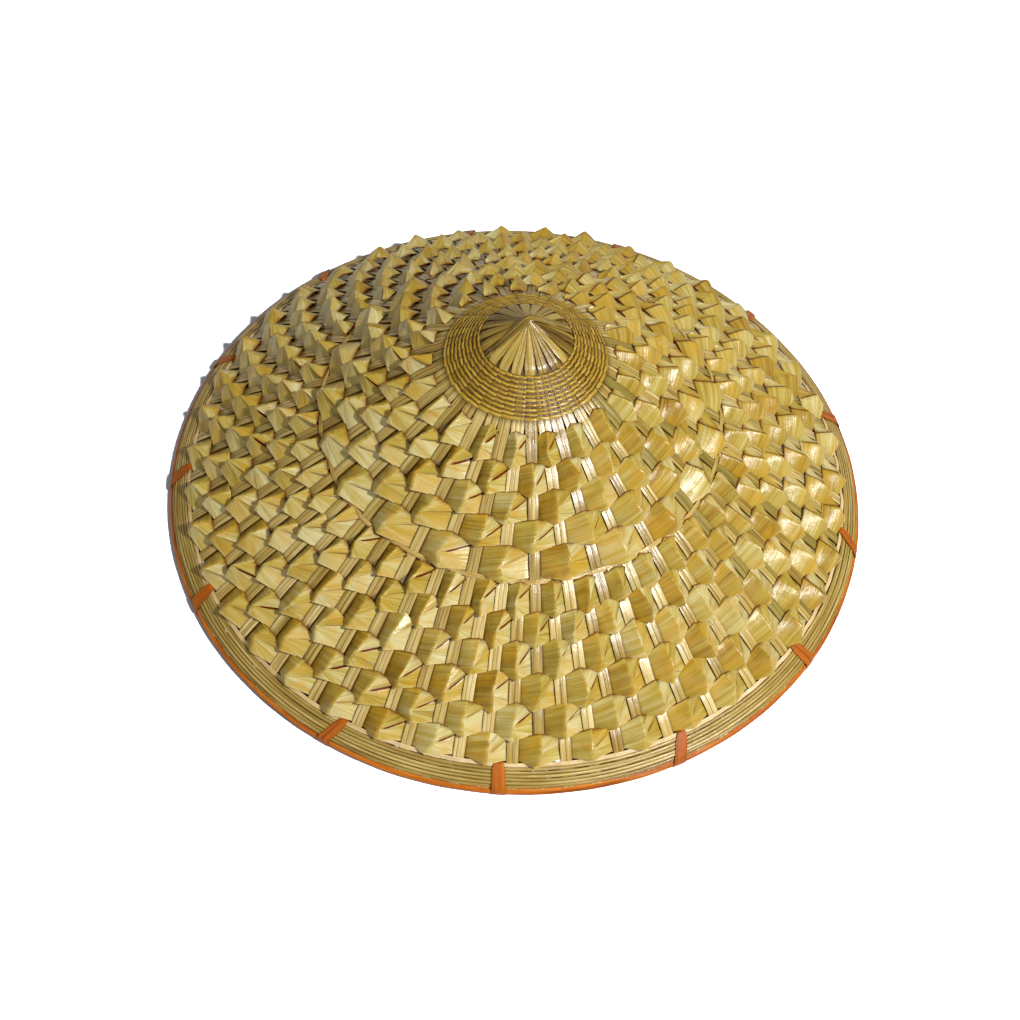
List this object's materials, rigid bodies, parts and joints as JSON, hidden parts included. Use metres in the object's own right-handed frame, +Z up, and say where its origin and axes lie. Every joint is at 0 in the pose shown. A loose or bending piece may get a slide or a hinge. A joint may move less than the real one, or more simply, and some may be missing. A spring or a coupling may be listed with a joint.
{
  "type": "conical hat",
  "caption": "Wide conical hat woven from bamboo splints, with folded pointed weave, twined crown, lashed rim hoop, head ring and chin cord with bead.",
  "frame": {"origin": "centre of the rim circle, on the plane the hat stands on", "axes": "+Z up along the cone's axis towards the peak; -Y is the front; the chin cord's anchors lie on the X axis"},
  "size_m": [0.4186, 0.4194, 0.1525],
  "materials": {
    "bamboo_splint": "satin",
    "folded_splint": "satin",
    "fine_splint": "satin",
    "rim_splint": "satin",
    "brown_bamboo": "satin",
    "brown_binding": "satin",
    "ring_bamboo": "satin",
    "cord": "matte",
    "turned_wood": "satin"
  },
  "bodies": {
    "hat": {"long_splints_lower": "bamboo_splint", "long_splints_upper": "bamboo_splint", "peak_splint_pair": "bamboo_splint", "added_splints": "bamboo_splint", "crown_twining_rounds": "fine_splint", "weft_row_01": "folded_splint", "weft_row_02": "folded_splint", "weft_row_03": "folded_splint", "weft_row_04": "folded_splint", "weft_row_05": "folded_splint", "weft_row_06": "folded_splint", "weft_row_07": "folded_splint", "weft_row_08": "folded_splint", "weft_row_09": "folded_splint", "weft_row_10": "folded_splint", "weft_row_11": "folded_splint", "binder_splint": "fine_splint", "rim_filler_strip": "rim_splint", "rim_band_splints": "rim_splint", "rim_lower_hoop": "brown_bamboo", "rim_lashings": "brown_binding", "head_ring_band": "ring_bamboo", "head_ring_hoop": "ring_bamboo", "head_ring_ties": "cord", "chin_cord_stirrups": "cord"},
    "chin_cord": {"chin_cord": "cord", "cord_end_knot": "cord"},
    "cord_bead": {"cord_bead": "turned_wood"}
  },
  "joints": [
    {"name": "chin_cord_swing", "type": "hinge", "parent": "hat", "child": "chin_cord", "pos_m": [0, 0, 0.052], "axis": [-1, 0, 0], "range_deg": [0, 150]},
    {"name": "bead_slide", "type": "slide", "parent": "chin_cord", "child": "cord_bead", "axis": [0, -0.9659, 0.2588], "range_m": [-0.002, 0.041]}
  ]
}
